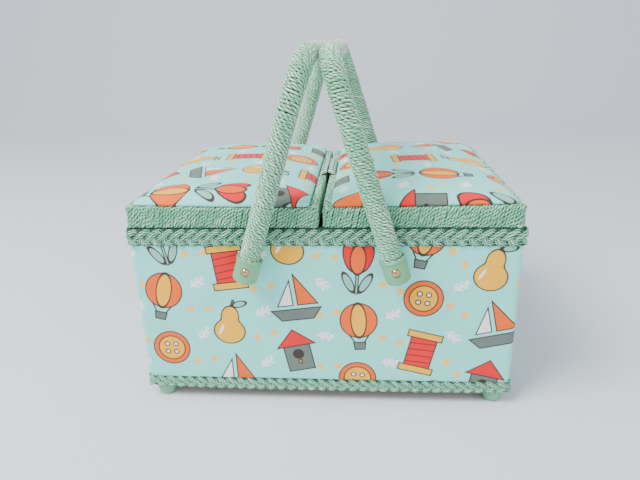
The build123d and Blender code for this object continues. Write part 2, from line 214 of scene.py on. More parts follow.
fibreboard = speckled("fibreboard", "9A7B57", "7C6040", "B3946C", 0.9, 900.0, 4.0, depth=0.0004)
for node in ["bottom_board", "front_wall", "back_wall", "left_wall", "right_wall"]:
    dressed(node, fibreboard)

# ---- printed cloth ----
# One length of printed cotton goes round the four walls over thin wadding. Its ends meet at
# the middle of the back. Seven small pictures stand in half-drop rows, with dots and sprigs.

cover_low, cover_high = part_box("outer_cover")
cover_corner = 0.003
cloth_thick = 0.0008
cover_columns = 640
cover_rows = 44
cover_short = 0.0002          # how far the cloth stops short of the top and the foot
wadding_swell = 0.0003
wadding_lumps = 0.0001
cell_width = 46.48            # millimetres, a twentieth of the way round
cell_height = 43.0
motif_scale = 1.3
ink_half = 0.34
print_edge = 0.12
elsewhere = 900.0             # how far off a cell draws the pictures that it doesn't show
thread_width = 0.00042
ink = dye("3B2D27")
cloth_ground = dye("8CEEE4")
red, orange, mustard = dye("F00A12"), dye("FC6608"), dye("FFB924")
grey, sage, chalk, straw = dye("66756E"), dye("93C8B8"), dye("FFF8FE"), dye("FFCE68")


class Number:
    """A number that changes over a piece. Arithmetic with it adds math nodes to its tree."""

    node = "ShaderNodeMath"

    def __init__(self, socket):
        self.socket, self.tree = socket, socket.id_data

    def into(self, operation, *values, gives=0):
        """What one math node makes of this and other values."""
        return take(self.tree, self.node, self, *values, operation=operation, gives=gives)

    def toward(self, way):
        """A vector along a way, as long as this number says."""
        return scaled(self.tree, way, self)

    __add__ = lambda self, other: self.into("ADD", other)
    __sub__ = lambda self, other: self.into("SUBTRACT", other)
    __rsub__ = lambda self, other: self.into("SUBTRACT", other).into("MULTIPLY", -1.0)
    __mul__ = lambda self, other: self.into("MULTIPLY", other)
    __truediv__ = lambda self, other: self.into("DIVIDE", other)
    __mod__ = lambda self, other: self.into("FLOORED_MODULO", other)
    __abs__ = lambda self: self.into("ABSOLUTE")


class Arrow(Number):
    """A vector that changes over a piece. Times a number, it grows."""

    node = "ShaderNodeVectorMath"

    __mul__ = lambda self, amount: scaled(self.tree, self, amount)

    def parts(self):
        """Its three numbers."""
        return [Number(part) for part in add(self.tree, "ShaderNodeSeparateXYZ", self).outputs]


def reading(socket):
    """A socket's number or vector to reckon with. Any other socket stays as it is."""
    kind = {"VALUE": Number, "INT": Number, "VECTOR": Arrow}.get(socket.type)
    return kind(socket) if kind else socket


def take(tree, kind, *values, gives=0, **named):
    """Adds a node and takes one of its outputs."""
    return reading(add(tree, kind, *values, **named).outputs[gives])


def scaled(tree, way, amount):
    """A vector times a number."""
    return take(tree, "ShaderNodeVectorMath", way, Scale=amount, operation="SCALE")


def ramp(tree, value, start, end, low=0.0, high=1.0):
    """Goes from low to high while a value goes from start to end."""
    return take(tree, "ShaderNodeMapRange", value, start, end, low, high)


def cloth_place(tree):
    """A point's place on its cloth, in metres of cloth."""
    return take(tree, "ShaderNodeUVMap", uv_map="cloth")


def new_group(name, takes, gives, kind="ShaderNodeTree"):
    """A node group with its sockets; returns its tree, its readings by name and its last node."""
    tree = bpy.data.node_groups.new(name, kind)
    for way, sockets in (("INPUT", takes), ("OUTPUT", gives)):
        for label, socket in sockets.items():
            tree.interface.new_socket(label, in_out=way, socket_type="NodeSocket" + socket)
    given = {socket.name: reading(socket) for socket in tree.nodes.new("NodeGroupInput").outputs}
    return tree, given, tree.nodes.new("NodeGroupOutput")


def stops_round(half_x, half_y, corner, count, middle_x=0.0):
    """Even stops round a rounded rectangle, from the back's middle by the left, and its girth.

    A stop is a place and the way outward from it."""
    bend = corner * pi / 2
    long_run, deep_run = 2 * (half_x - corner), 2 * (half_y - corner)
    runs = [long_run / 2, bend, deep_run, bend, long_run, bend, deep_run, bend, long_run / 2]
    hubs = [(-1, 1), (-1, -1), (1, -1), (1, 1)]
    stops = []
    for number in range(count):
        along, leg = sum(runs) * number / count, 0
        while along > runs[leg]:
            along -= runs[leg]
            leg += 1
        heading = pi + leg // 2 * pi / 2 + (along / bend * pi / 2 if leg % 2 else 0.0)
        side_x, side_y = hubs[leg // 2 - 1 + leg % 2]
        ahead = 0.0 if leg % 2 else along + (long_run / 2 if leg == 0 else 0.0)
        x = side_x * (half_x - corner) + corner * sin(heading) + ahead * cos(heading)
        y = side_y * (half_y - corner) - corner * cos(heading) + ahead * sin(heading)
        stops.append(((x + middle_x, y), (sin(heading), -cos(heading))))
    return stops, sum(runs)


def grid_faces(rows, columns):
    """The faces of a grid whose points are laid row by row."""
    wide = columns + 1
    return [(r * wide + c, r * wide + c + 1, r * wide + wide + c + 1, r * wide + wide + c)
            for r in range(rows) for c in range(columns)]


def lay_map(shown, spots):
    """The piece's cloth map, in metres of cloth, from one pair for each point."""
    layer = shown.data.uv_layers.new(name="cloth")
    layer.data.foreach_set("uv", [share for loop in shown.data.loops for share in spots[loop.vertex_index]])


def made_plain(shown):
    """Works the piece's modifiers into its mesh."""
    graph = bpy.context.evaluated_depsgraph_get()
    mesh = bpy.data.meshes.new_from_object(shown.evaluated_get(graph))
    shown.modifiers.clear()
    shown.data = mesh
    return shown


def thickened(shown, thickness):
    """Gives a sheet its thickness, half on each side."""
    doubled = shown.modifiers.new("thickness", "SOLIDIFY")
    doubled.thickness, doubled.offset = thickness, 0.0
    return made_plain(shown)


class Drawing:
    """Flat shapes in ink. A shape is its distance in millimetres from its edge, under 0 inside."""

    def __init__(self, tree, colour):
        self.tree, self.spot, self.colour = tree, None, colour

    def oval(self, x, y, wide, high, turn=0.0):
        local = take(self.tree, "ShaderNodeMapping", Vector=self.spot, Location=(x, y, 0),
                     Rotation=(0, 0, turn), Scale=(wide, high, 1), vector_type="TEXTURE")
        return (local.into("LENGTH", gives="Value") - 1.0) * min(wide, high)

    def polygon(self, *corners):
        """A convex shape with its corners listed anticlockwise."""
        shape = None
        for (x0, y0), (x1, y1) in zip(corners, corners[1:] + corners[:1]):
            length = hypot(x1 - x0, y1 - y0)
            out_x, out_y = (y1 - y0) / length, (x0 - x1) / length
            reach = self.spot.into("DOT_PRODUCT", (out_x, out_y, 0), gives="Value")
            side = reach - (x0 * out_x + y0 * out_y)
            shape = side if shape is None else shape.into("MAXIMUM", side)
        return shape

    def block(self, x0, y0, x1, y1):
        return self.polygon((x0, y0), (x1, y0), (x1, y1), (x0, y1))

    def cover(self, shape, colour):
        """Fills the shape."""
        inside = ramp(self.tree, shape, print_edge, -print_edge)
        self.colour = blend(self.tree, inside, self.colour, colour)

    def paint(self, shape, colour):
        """Fills the shape and draws its outline in ink."""
        self.cover(shape, colour)
        self.cover(abs(shape) - ink_half, ink)

    def only(self, spot, number, wanted):
        """Draws in a cell only where its number is the wanted one."""
        self.spot = spot + abs(number - wanted) * elsewhere


def cells(spot, wide, high, drop, seed, drift, sway):
    """Half-drop cells: a drifted, swayed place in the cell, and the cell's column and row."""
    tree = spot.tree
    across, up, _ = spot.parts()
    column = (across / wide).into("FLOOR")
    up += column % 2.0 * drop
    row = (up / high).into("FLOOR")
    number = take(tree, "ShaderNodeCombineXYZ", column, row, seed)
    chance = add(tree, "ShaderNodeTexWhiteNoise", number).outputs
    push = Arrow(chance["Color"]).into("MULTIPLY_ADD", (drift, drift, 0), (-drift / 2, -drift / 2, 0))
    across, up = across - (column + 0.5) * wide, up - (row + 0.5) * high
    local = take(tree, "ShaderNodeCombineXYZ", across, up) + push
    turn = (Number(chance["Value"]) - 0.5) * sway
    local = take(tree, "ShaderNodeVectorRotate", Vector=local, Angle=turn, rotation_type="Z_AXIS")
    return local, column, row


def print_group():
    """The cotton's print, from a place on the cloth in metres."""
    tree, given, wanted = new_group("cotton_print", {"Place": "Vector"}, {"Color": "Color"})
    draw = Drawing(tree, cloth_ground)
    oval, block, polygon, paint, cover = draw.oval, draw.block, draw.polygon, draw.paint, draw.cover
    spot = given["Place"] * 1000.0
    small, column, row = cells(spot + (cell_width / 2, 0, 0), cell_width, cell_height / 2, 0.0, 3.0, 5.0, 1.6)
    kind = (column + row) % 2.0
    draw.only(small, kind, 0.0)  # sprigs
    for leaf in [(0, 0, 6.5, 1.0, 0.1), (-3.4, 1.8, 2.6, 1.0, 0.9), (0.2, 2.1, 2.8, 1.0, 0.8),
                 (-2.0, -1.7, 2.6, 1.0, -0.7), (2.2, -1.5, 2.6, 1.0, -0.6), (4.2, 1.8, 2.4, 1.0, 0.7)]:
        cover(oval(*leaf), chalk)
    draw.only(small, kind, 1.0)  # dots
    cover(oval(-6.0, 1.5, 2.7, 2.7), straw)
    cover(oval(6.5, -2.0, 2.6, 2.6), straw)

    cell, column, row = cells(spot, cell_width, cell_height, cell_height / 2, 8.0, 4.0, 0.5)
    cell = cell / ((motif_scale,) * 3)
    kind = (row * 3.0 + column) % 7.0

    draw.only(cell, kind, 0.0)  # reel of thread
    paint(block(-7.2, -10, 7.2, 10), red)
    for level in (-6.0, -2.0, 2.0, 6.0):
        cover(polygon((-7, level - 1.1), (7, level + 0.5), (7, level + 1.0), (-7, level - 0.6)), ink)
    for foot in (9, -13):
        paint(block(-9.6, foot, 9.6, foot + 4), mustard)
    draw.only(cell, kind, 1.0)  # sailing boat
    paint(polygon((1.3, -4), (12.5, -4), (1.3, 14.5)), orange)
    paint(polygon((-1.3, -4), (-1.3, 11), (-10, -4)), chalk)
    paint(polygon((-9, -13), (9, -13), (14, -6.4), (-14, -6.4)), grey)
    draw.only(cell, kind, 2.0)  # tulip
    paint(block(-0.7, -15, 0.7, 0), sage)
    for side in (1, -1):
        paint(oval(4.6 * side, -8.5, 2.2, 6.2, -0.5 * side), sage)
    for side in (-1, 1):
        paint(oval(3.8 * side, 6.0, 3.9, 8.2, -0.28 * side), red)
    paint(oval(0.0, 4.8, 4.1, 8.4), orange)
    draw.only(cell, kind, 3.0)  # button
    paint(oval(0, 0, 10.5, 10.5), orange)
    paint(oval(0, 0, 7.6, 7.6), mustard)
    draw.spot = abs(draw.spot)
    paint(oval(2.5, 2.5, 1.3, 1.3), chalk)
    draw.only(cell, kind, 4.0)  # pear
    paint(polygon((-0.6, 9), (0.6, 9), (2.0, 14.5), (1.0, 14.8)), grey)
    paint(oval(5.0, 12.6, 4.0, 1.8, 0.35), sage)
    paint(oval(0, -5.0, 8.8, 7.8).into("SMOOTH_MIN", oval(0, 4.2, 4.9, 6.6), 3.0), mustard)
    cover(oval(-4.6, -4.4, 0.8, 3.4, -0.35), chalk)
    draw.only(cell, kind, 5.0)  # bird house
    paint(block(-7.5, -13, 7.5, 4), grey)
    paint(polygon((-11, 3), (11, 3), (0, 13.5)), red)
    paint(oval(0, -2.4, 2.9, 2.9), ink)
    paint(block(-0.8, -8.4, 0.8, -6.4), mustard)
    draw.only(cell, kind, 6.0)  # balloon
    cover(polygon((-6.6, -3.6), (-3.1, -9.4), (-2.3, -9.2), (-5.8, -3.2)), ink)
    cover(polygon((2.3, -9.2), (3.1, -9.4), (6.6, -3.6), (5.8, -3.2)), ink)
    paint(oval(0, 4.2, 10.2, 10.6), orange)
    paint(oval(0, 4.2, 4.2, 10.6), mustard)
    paint(polygon((-2.8, -14), (2.8, -14), (3.4, -9.4), (-3.4, -9.4)), grey)
    feed(wanted, Color=draw.colour)
    return tree


def weave_group():
    """A plain weave's height, from a place and a thread width in metres."""
    takes = {"Place": "Vector", "Thread": "Float"}
    tree, given, wanted = new_group("plain_weave", takes, {"Height": "Float"})
    turns = given["Place"] / given["Thread"]
    warp, weft, _ = [abs((part * pi).into("SINE")) for part in turns.parts()]
    checker = take(tree, "ShaderNodeTexChecker", Vector=turns, Scale=1.0, gives="Fac")
    feed(wanted, Height=take(tree, "ShaderNodeMix", Factor=checker, A=warp, B=weft, data_type="FLOAT",
                             gives="Result"))
    return tree


def woven(tree, place, thread):
    """The height of a cloth's weave."""
    return take(tree, "ShaderNodeGroup", node_tree=weave, Place=place, Thread=thread)


weave = weave_group()
cotton, cotton_tree, cotton_shader = finish_named("printed_cotton", cloth_ground, 0.8,
                                                  Sheen_Weight=0.12, Sheen_Roughness=0.5)
on_cotton = cloth_place(cotton_tree)
printed = add(cotton_tree, "ShaderNodeGroup", node_tree=print_group(), Place=on_cotton).outputs[0]
wear = speckle(cotton_tree, on_cotton, 45.0, 3.0)
threads = woven(cotton_tree, on_cotton, thread_width)
# Random tone from the wear noise, times painted shade in the weave's hollows that turns a touch lighter on
# the thread crests.
tone_and_weave_shade = ramp(cotton_tree, wear, 0.0, 1.0, 0.93, 1.04) * ramp(cotton_tree, threads, 0.0, 1.0, 0.93, 1.02)
creases = bumped(cotton_tree, wear, 0.35, 0.0012)
feed(cotton_shader, Base_Color=Arrow(printed) * tone_and_weave_shade,
     Normal=bumped(cotton_tree, threads, 0.35, 0.00012, creases))

stops, cover_round = stops_round(cover_high[0] - cloth_thick / 2, cover_high[1] - cloth_thick / 2,
                                 cover_corner, cover_columns)
stops.append(stops[0])
points, spots = [], []
for row in range(cover_rows + 1):
    share = row / cover_rows
    z = cover_low[2] + cover_short + (cover_high[2] - cover_low[2] - 2 * cover_short) * share
    for number, ((x, y), (out_x, out_y)) in enumerate(stops):
        lumps = wadding_lumps * noise.noise((x * 28, y * 28, z * 24))
        swell = wadding_swell * sin(pi * share) ** 0.6 + lumps
        points.append((x + out_x * swell, y + out_y * swell, z))
        spots.append((cover_round * number / cover_columns, z))
cover = piece("printed_cover", points, grid_faces(cover_rows, cover_columns), cotton)
lay_map(cover, spots)
thickened(cover, cloth_thick)
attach(cover, "basket")
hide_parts("outer_cover")

# ---- satin lining ----
# Mint satin lines the walls, glued on card with a turned top edge, and a thin padded satin
# mat lies on the bottom.

lining_low, lining_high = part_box("wall_lining")
mat_low, mat_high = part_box("floor_pad")
lining_corner = 0.0015
lining_columns = 520
lining_rows = 24
lining_thick = 0.0007
lining_inset = 0.0001         # from the sides of its solid
lining_foot = 0.0004          # above its solid's foot
lining_head = 0.0002          # below its solid's top
turned_edge = 0.0016
turned_inset = 0.00012
mat_corner = 0.0015
mat_step = 0.003
mat_edge = 0.0015
mat_swell = 0.0008            # over the solid, at the middle
pillow_edge = 0.45            # how round a pillow is at its edge; 1 is a tent
satin_ripple = 0.0001
satin_thread = 0.0003


def pillow(name, half_x, half_y, corner, base_z, edge_z, crown_z, step, material,
           middle_x=0.0, ripple=0.0, fullness=(5, 5)):
    """A closed crowned form on a rounded rectangle, flat below, with its cloth map laid from above."""
    count_x, count_y = round(2 * half_x / step), round(2 * half_y / step)
    points, spots = [], []
    for row in range(count_y + 1):
        for column in range(count_x + 1):
            u, v = 2 * column / count_x - 1, 2 * row / count_y - 1
            x, y = u * half_x, v * half_y
            out_x, out_y = max(0.0, abs(x) - half_x + corner), max(0.0, abs(y) - half_y + corner)
            over = hypot(out_x, out_y)
            if over > corner:
                x -= (out_x - out_x * corner / over) * (1 if x > 0 else -1)
                y -= (out_y - out_y * corner / over) * (1 if y > 0 else -1)
            swell = max(0.0, (1 - abs(u) ** fullness[0]) * (1 - abs(v) ** fullness[1])) ** pillow_edge
            wave = ripple * swell * noise.noise((x * 22 + 3, y * 22, 5 * middle_x))
            points.append((x + middle_x, y, edge_z + (crown_z - edge_z) * swell + wave))
            spots.append((x, y))
    wide = count_x + 1
    faces = grid_faces(count_y, count_x)
    rim = [c for c in range(wide)] + [r * wide + count_x for r in range(1, count_y + 1)]
    rim += [count_y * wide + c for c in range(count_x - 1, -1, -1)]
    rim += [r * wide for r in range(count_y - 1, 0, -1)]
    below = len(points)
    faces += [tuple(below + i for i in reversed(face)) for face in faces]
    faces += [(after, at, below + at, below + after) for at, after in zip(rim, rim[1:] + rim[:1])]
    points += [(x, y, base_z) for x, y, z in points]
    made = piece(name, points, faces, material)
    lay_map(made, spots + spots)
    return made


satin, satin_tree, satin_shader = finish_named("mint_satin", dye("A9D3C2"), 0.36, Sheen_Weight=0.25,
                                               Sheen_Roughness=0.3, Anisotropic=0.5)
on_satin = cloth_place(satin_tree)
drift = speckle(satin_tree, on_satin, 26.0, 3.0)
floats = woven(satin_tree, on_satin, satin_thread)
folds = bumped(satin_tree, drift, 0.6, 0.002)
feed(satin_shader, Base_Color=blend(satin_tree, drift, dye("94C3B0"), dye("B9DECF")),
     Normal=bumped(satin_tree, floats, 0.2, 0.00006, folds))

half_x, half_y = [lining_high[axis] - lining_thick / 2 - lining_inset for axis in (0, 1)]
stops, lining_round = stops_round(half_x, half_y, lining_corner, lining_columns)
points, spots = [], []
for row in range(lining_rows + 1):
    share = row / lining_rows
    height = lining_high[2] - lining_low[2] - lining_foot - lining_head
    z = lining_low[2] + lining_foot + height * share
    turned = z > lining_high[2] - turned_edge
    for number, ((x, y), (out_x, out_y)) in enumerate(stops):
        ripple = satin_ripple * (1 + noise.noise((x * 25, y * 25, z * 25)))
        inward = turned_inset if turned else ripple
        points.append((x - out_x * inward, y - out_y * inward, z))
        spots.append((lining_round * number / lining_columns, z))
wide = lining_columns
faces = [(r * wide + (c + 1) % wide, r * wide + c, r * wide + wide + c, r * wide + wide + (c + 1) % wide)
         for r in range(lining_rows) for c in range(wide)]
lining = piece("satin_lining", points, faces, satin)
lay_map(lining, spots)
thickened(lining, lining_thick)
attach(lining, "basket")
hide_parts("wall_lining")

mat = pillow("floor_mat", mat_high[0], mat_high[1], mat_corner, mat_low[2], mat_low[2] + mat_edge,
             mat_high[2] + mat_swell, mat_step, satin, ripple=0.0005)
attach(mat, "basket")
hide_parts("floor_pad")

# ---- feet ----
# Four feet are moulded from slightly cloudy green plastic. A steel screw, sunk in each one's
# recess, holds it to the bottom board.

points_meet = 0.000002        # nearer than this, points of a solid's triangles are one


def smooth_group():
    """Smooth shading with edges kept sharp above an angle."""
    takes = {"Geometry": "Geometry", "Angle": "Float"}
    tree, given, wanted = new_group("smooth_by_angle", takes, {"Geometry": "Geometry"}, "GeometryNodeTree")
    sharp = take(tree, "GeometryNodeInputMeshEdgeAngle").into("GREATER_THAN", given["Angle"])
    kind = "GeometryNodeSetShadeSmooth"
    faces = take(tree, kind, Geometry=given["Geometry"], Shade_Smooth=True, domain="FACE")
    feed(wanted, Geometry=take(tree, kind, faces, sharp, False, domain="EDGE"))
    return tree


def smoothed(node, material, angle):
    """A CAD node with a material, its loose triangles joined and shaded smooth below an angle."""
    shown = dressed(node, material)
    shown.modifiers.new("join", "WELD").merge_threshold = points_meet
    modifier = shown.modifiers.new("smooth", "NODES")
    modifier.node_group = smooth_by_angle
    modifier[smooth_by_angle.interface.items_tree["Angle"].identifier] = radians(angle)


def moulded_group():
    """Moulded plastic: a faint cloud in its colour, its roughness and its orange-peel height."""
    tree, given, wanted = new_group("moulded_plastic", {"Place": "Vector", "Pale": "Color", "Deep": "Color"},
                                    {"Color": "Color", "Roughness": "Float", "Height": "Float"})
    cloud = speckle(tree, given["Place"], 60.0)
    feed(wanted, Color=blend(tree, cloud, given["Deep"], given["Pale"]),
         Roughness=ramp(tree, cloud, 0.0, 1.0, 0.32, 0.46), Height=speckle(tree, given["Place"], 900.0))
    return tree


def plastic(name, pale, deep, **plain):
    """A material of moulded plastic between two colours."""
    material, tree, shader = finish_named(name, dye(pale), 0.4, **plain)
    moulded = add(tree, "ShaderNodeGroup", node_tree=moulded_tree, Place=object_place(tree),
                  Pale=dye(pale), Deep=dye(deep)).outputs
    feed(shader, Base_Color=moulded["Color"], Roughness=moulded["Roughness"],
         Normal=bumped(tree, moulded["Height"], 0.25, 0.0001))
    return material


def metal(name, bright, dull, roughness):
    """A plain metal with faint smudges that change its colour and roughness."""
    material, tree, shader = finish_named(name, dye(bright), roughness, Metallic=1.0)
    smudge = speckle(tree, object_place(tree), 350.0, 4.0)
    feed(shader, Base_Color=blend(tree, smudge, dye(bright), dye(dull)),
         Roughness=ramp(tree, smudge, 0.0, 1.0, roughness * 0.7, roughness * 1.4))
    return material


smooth_by_angle = smooth_group()
moulded_tree = moulded_group()
green_plastic = plastic("green_plastic", "7DB894", "69A681", Subsurface_Weight=0.15, Subsurface_Scale=0.004)
steel = metal("plated_steel", "C9CCD0", "8E9298", 0.3)
smoothed("feet", green_plastic, 40)
smoothed("foot_screws", steel, 40)

# ---- plaited braids ----
# A flat plait of three strands, each of three fine cords, is glued round the rim and round
# the base. The rim's plait has its long strands on top; the base's is turned over. A dark sheet
# behind each is painted shade in the plait's holes, and over the rim's top in the gap under the lids.

line_stops = 900              # in the host line of a plait or a lid's winding
plait_round = {"Depth": 0.0007, "Stand Off": 0.0010, "Crown": 0.0003, "Lean": 0.55, "Dip": 0.0010,
               "Waist": 0.8, "Lay": 0.0070, "Unevenness": 0.0005}
cords_high = 5.3              # cord radii between the plait's outer strands and its edges
cord_apart = 1.95             # cord radii from one cord of a strand to the next
shade_tape_thick = 0.0004
shade_tape_behind = 0.0001
shade_tape_foot = 0.0003            # above the braid's foot
rim_top = 0.138
rim_cap = 0.00013             # how far the rim's painted-shade sheet lies over the board
rim_wrap = 0.0049             # how far it reaches inwards
base_below = 0.0012           # how far the base's painted-shade sheet stops short of the braid's top
base_slack = 0.0013           # how far the lower plait hangs between the corners
twist_slack = 14.0            # radians by which a cord's twist wanders
twist_wander = 45.0           # how often it does, per metre
cord_wander = 220.0           # how often a cord strays from its strand, per metre
outer_cord_shade = 0.22             # painted shade: how much darker a strand's outer cords are
dive_under_shade = 0.45             # and painted shade on a strand where it dives under


def growing_tree(name, *sizes, **others):
    """A geometry tree with named inputs; returns its tree, its readings by name and its last node."""
    takes = {"Geometry": "Geometry", "Turns": "Int", "Steps": "Int", **others,
             **dict.fromkeys(sizes, "Float"), "Material": "Material"}
    return new_group(name, takes, {"Geometry": "Geometry"}, "GeometryNodeTree")


def unsteady(tree, along, detail=2.0):
    """Noise between 0 and 1 along a line."""
    return take(tree, "ShaderNodeTexNoise", W=along, Scale=1.0, Detail=detail, noise_dimensions="1D")


def kept_as(name, value, geometry):
    """Keeps a value at each point under a name."""
    return take(value.tree, "GeometryNodeStoreNamedAttribute", Geometry=geometry, Name=name,
                Value=value, data_type="FLOAT", domain="POINT")


def evenly(tree, curve, count):
    """A curve with even steps."""
    return take(tree, "GeometryNodeResampleCurve", Curve=curve, Count=count, mode="COUNT")


def cord_skin(tree, curve, given, corners, wanted):
    """Skins a curve as two twisted plies, and keeps how far out each point lies on its ply."""
    place = take(tree, "GeometryNodeInputPosition")
    share = place.parts()[0] / given["Cord Radius"]
    ply = share * share
    ring = take(tree, "GeometryNodeCurvePrimitiveCircle", Resolution=corners, Radius=given["Cord Radius"])
    ring = kept_as("ply", ply, ring)
    waist = ply * (1.0 - given["Waist"]) + given["Waist"]
    plies = take(tree, "GeometryNodeSetPosition", Geometry=ring, Position=place * waist)
    half_twists = (take(tree, "GeometryNodeSplineLength") * 2.0 / given["Lay"]).into("ROUND")
    along = take(tree, "GeometryNodeSplineParameter")
    metres = take(tree, "GeometryNodeSplineParameter", gives="Length")
    twist = unsteady(tree, metres * twist_wander, 1.0) * twist_slack + along * half_twists * pi
    twisted = take(tree, "GeometryNodeSetCurveTilt", Curve=curve, Tilt=twist)
    skin = take(tree, "GeometryNodeCurveToMesh", Curve=twisted, Profile_Curve=plies, Fill_Caps=True)
    smooth = take(tree, "GeometryNodeSetShadeSmooth", Geometry=skin, Shade_Smooth=True)
    solid = take(tree, "GeometryNodeRealizeInstances", smooth)
    dyed = take(tree, "GeometryNodeSetMaterial", Geometry=solid, Material=given["Material"])
    feed(wanted, Geometry=dyed)


def plait_tree():
    """Three strands of three cords, plaited flat along a closed host line, upright along Z."""
    tree, given, wanted = growing_tree("plait", "Height", "Depth", "Stand Off", "Crown", "Lean", "Dip",
                                       "Cord Gap", "Cord Radius", "Waist", "Lay", "Unevenness")
    up = (0, 0, 1)
    line = take(tree, "GeometryNodeMeshToCurve", given["Geometry"])
    even = evenly(tree, line, given["Turns"] * given["Steps"])
    copies = add(tree, "GeometryNodeDuplicateElements", Geometry=even, Amount=9, domain="SPLINE").outputs
    number = Number(copies["Duplicate Index"])
    strand = number % 3.0
    cord = (number / 3.0).into("FLOOR") - 1.0
    turns = given["Turns"] * (2 * pi)
    phase = take(tree, "GeometryNodeSplineParameter") * turns + strand * (2 * pi / 3)
    wave = phase.into("SINE")
    rise = wave * given["Height"]
    across = rise - (1.0 - wave * wave) * given["Dip"]
    slope = phase.into("COSINE") * given["Height"] * (turns / take(tree, "GeometryNodeSplineLength"))
    tangent = take(tree, "GeometryNodeInputTangent")
    outward = tangent.into("CROSS_PRODUCT", up)
    side = ((slope * given["Lean"] + 1.0).toward(up) - tangent * slope).into("NORMALIZE")
    over = (phase * 2.0).into("SINE")
    edge = abs(cord)
    deep = over * given["Depth"] + given["Stand Off"] - edge * given["Crown"]
    under = (over * given["Depth"].into("SIGN") * -dive_under_shade).into("MAXIMUM", 0.0)
    own_seed = number.toward((3.1, 1.7, 2.3))
    seeded = take(tree, "GeometryNodeInputPosition") * cord_wander + own_seed
    loose = add(tree, "ShaderNodeTexNoise", Vector=seeded, Scale=1.0, Detail=1.0).outputs["Color"]
    loose = Arrow(loose) - (0.5, 0.5, 0.5)
    moved = (across.toward(up) + outward * deep + tangent * (rise * given["Lean"])
             + side * (cord * given["Cord Gap"]) + loose * given["Unevenness"])
    # Painted shade on the outer cords and where a strand dives under, kept for the cord's colour.
    kept = kept_as("strand_shade", edge * outer_cord_shade + under, copies["Geometry"])
    plaited = take(tree, "GeometryNodeSetPosition", Geometry=kept, Offset=moved)
    cord_skin(tree, plaited, given, 6, wanted)
    return tree


def cord_group():
    """Colour and height of a shiny two-ply cord: a painted highlight on its plies' crests and painted shade
    in its grooves.
    """
    takes = {"Bright": "Color", "Middle": "Color", "Deep": "Color", "Fineness": "Float"}
    tree, given, wanted = new_group("two_ply_cord", takes, {"Color": "Color", "Height": "Float"})
    ply, strand_shade = [take(tree, "ShaderNodeAttribute", gives="Fac", attribute_name=name)
                 for name in ("ply", "strand_shade")]
    place = object_place(tree)
    fibres, patch = Number(speckle(tree, place, given["Fineness"], 3.0)), Number(speckle(tree, place, 60.0))
    # Painted light: the middle dye darkens towards the deep dye as painted shade in the grooves and on
    # darkened cords, and pales towards the bright dye as a painted highlight on the crests.
    out = ply * (fibres + 0.5) - strand_shade
    deep = blend(tree, ramp(tree, out, -0.1, 0.45), given["Deep"], given["Middle"])
    painted_highlight = ramp(tree, out * (patch + 0.5), 0.6, 1.1)
    feed(wanted, Color=blend(tree, painted_highlight, deep, given["Bright"]), Height=out)
    return tree


def cord_finish(name, bright, middle, deep, fineness, gloss):
    """The material of a shiny twisted cord, with a bright dye for its painted highlights and a deep dye for
    its painted shade.
    """
    material, tree, shader = finish_named(name, dye(middle), gloss, Sheen_Weight=0.3,
                                          Sheen_Roughness=0.4, Specular_IOR_Level=0.6)
    cord = add(tree, "ShaderNodeGroup", node_tree=two_ply, Bright=dye(bright), Middle=dye(middle),
               Deep=dye(deep), Fineness=fineness).outputs
    feed(shader, Base_Color=cord["Color"], Normal=bumped(tree, cord["Height"], 0.4, 0.00012))
    return material


def host_line(name, places, closed=True):
    """A plain line of edges for a tree to follow."""
    last = len(places) if closed else len(places) - 1
    mesh = bpy.data.meshes.new(name)
    mesh.from_pydata(places, [(i, (i + 1) % len(places)) for i in range(last)], [])
    made = bpy.data.objects.new(name, mesh)
    bpy.context.scene.collection.objects.link(made)
    return made


def grown(host, tree, values):
    """Grows a tree on a host line with its inputs set by name, and keeps the plain mesh."""
    modifier = host.modifiers.new("grow", "NODES")
    modifier.node_group = tree
    for item in tree.interface.items_tree:
        if item.in_out == "INPUT" and item.name in values:
            modifier[item.identifier] = values[item.name]
    return made_plain(host)


two_ply = cord_group()
plait = plait_tree()
# Painted light: the braid cord's bright dye is its painted highlight and its deep dye its painted shade.
braid_cord = cord_finish("braid_cord", "F6FFFB", "88D4AE", "1A523E", 1500.0, 0.28)
